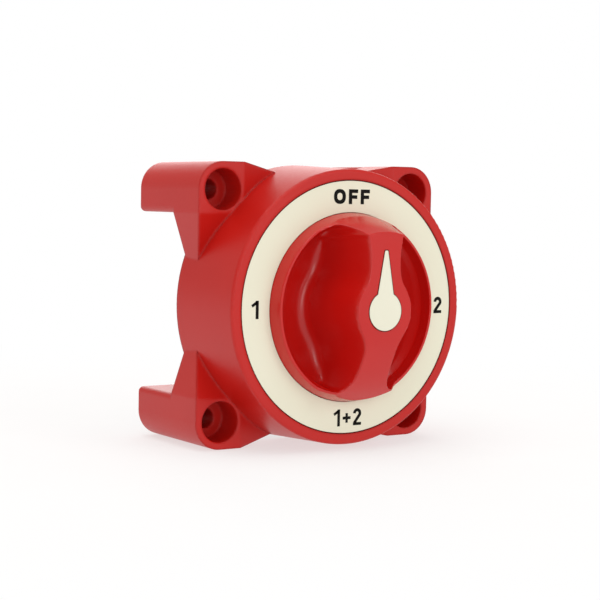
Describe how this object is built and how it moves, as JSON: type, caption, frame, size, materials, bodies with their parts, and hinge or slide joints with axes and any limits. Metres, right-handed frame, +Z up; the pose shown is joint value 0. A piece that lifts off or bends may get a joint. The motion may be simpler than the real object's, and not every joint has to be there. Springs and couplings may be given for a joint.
{
  "type": "battery selector switch",
  "caption": "Rotary battery selector: square-cornered round body with screw posts, waisted knob with a pointer over a dial ring, internal copper contacts and rear terminal studs.",
  "frame": {"origin": "centre of the rear mounting plane, on the knob axis", "axes": "+Z up towards OFF, the dial faces -Y, +X to the viewer's right, +Y through the panel"},
  "size_m": [0.097, 0.0816, 0.097],
  "materials": {
    "red_plastic": "satin moulded",
    "label_cream": "satin print film",
    "insert_cream": "satin",
    "stainless": "bright",
    "dark_polymer": "satin",
    "rubber_black": "matt",
    "grey_polymer": "satin",
    "spring_steel": "bright",
    "copper": "satin copper",
    "base_black": "moulded",
    "tinned_copper": "tin plated"
  },
  "bodies": {
    "body": {"housing": "red_plastic", "dial_label": "label_cream", "base_plate": "base_black", "base_gasket": "rubber_black", "base_screws": "stainless", "common_contact": "copper", "battery_1_contact": "copper", "battery_2_contact": "copper", "off_insulator": "dark_polymer", "common_stud": "tinned_copper", "battery_1_stud": "tinned_copper", "battery_2_stud": "tinned_copper", "terminal_flat_washers": "stainless", "terminal_lock_washers": "stainless", "terminal_nuts": "stainless", "detent_springs": "spring_steel"},
    "turning_knob": {"knob": "red_plastic", "pointer_insert": "insert_cream", "knob_screw": "stainless", "drive_shaft": "dark_polymer", "shaft_o_ring": "rubber_black", "thrust_washer": "stainless", "rotor": "grey_polymer", "contact_springs": "spring_steel"},
    "contact_bridge": {"moving_contact": "copper"}
  },
  "joints": [
    {"name": "knob_turn", "type": "hinge", "parent": "body", "child": "turning_knob", "pos_m": [0, -0.0615, 0], "axis": [0, 1, 0], "continuous": true, "deforming": ["detent_springs"]},
    {"name": "contact_float", "type": "slide", "parent": "turning_knob", "child": "contact_bridge", "axis": [0, -1, 0], "range_m": [0, 0.0004], "deforming": ["contact_springs"]}
  ]
}
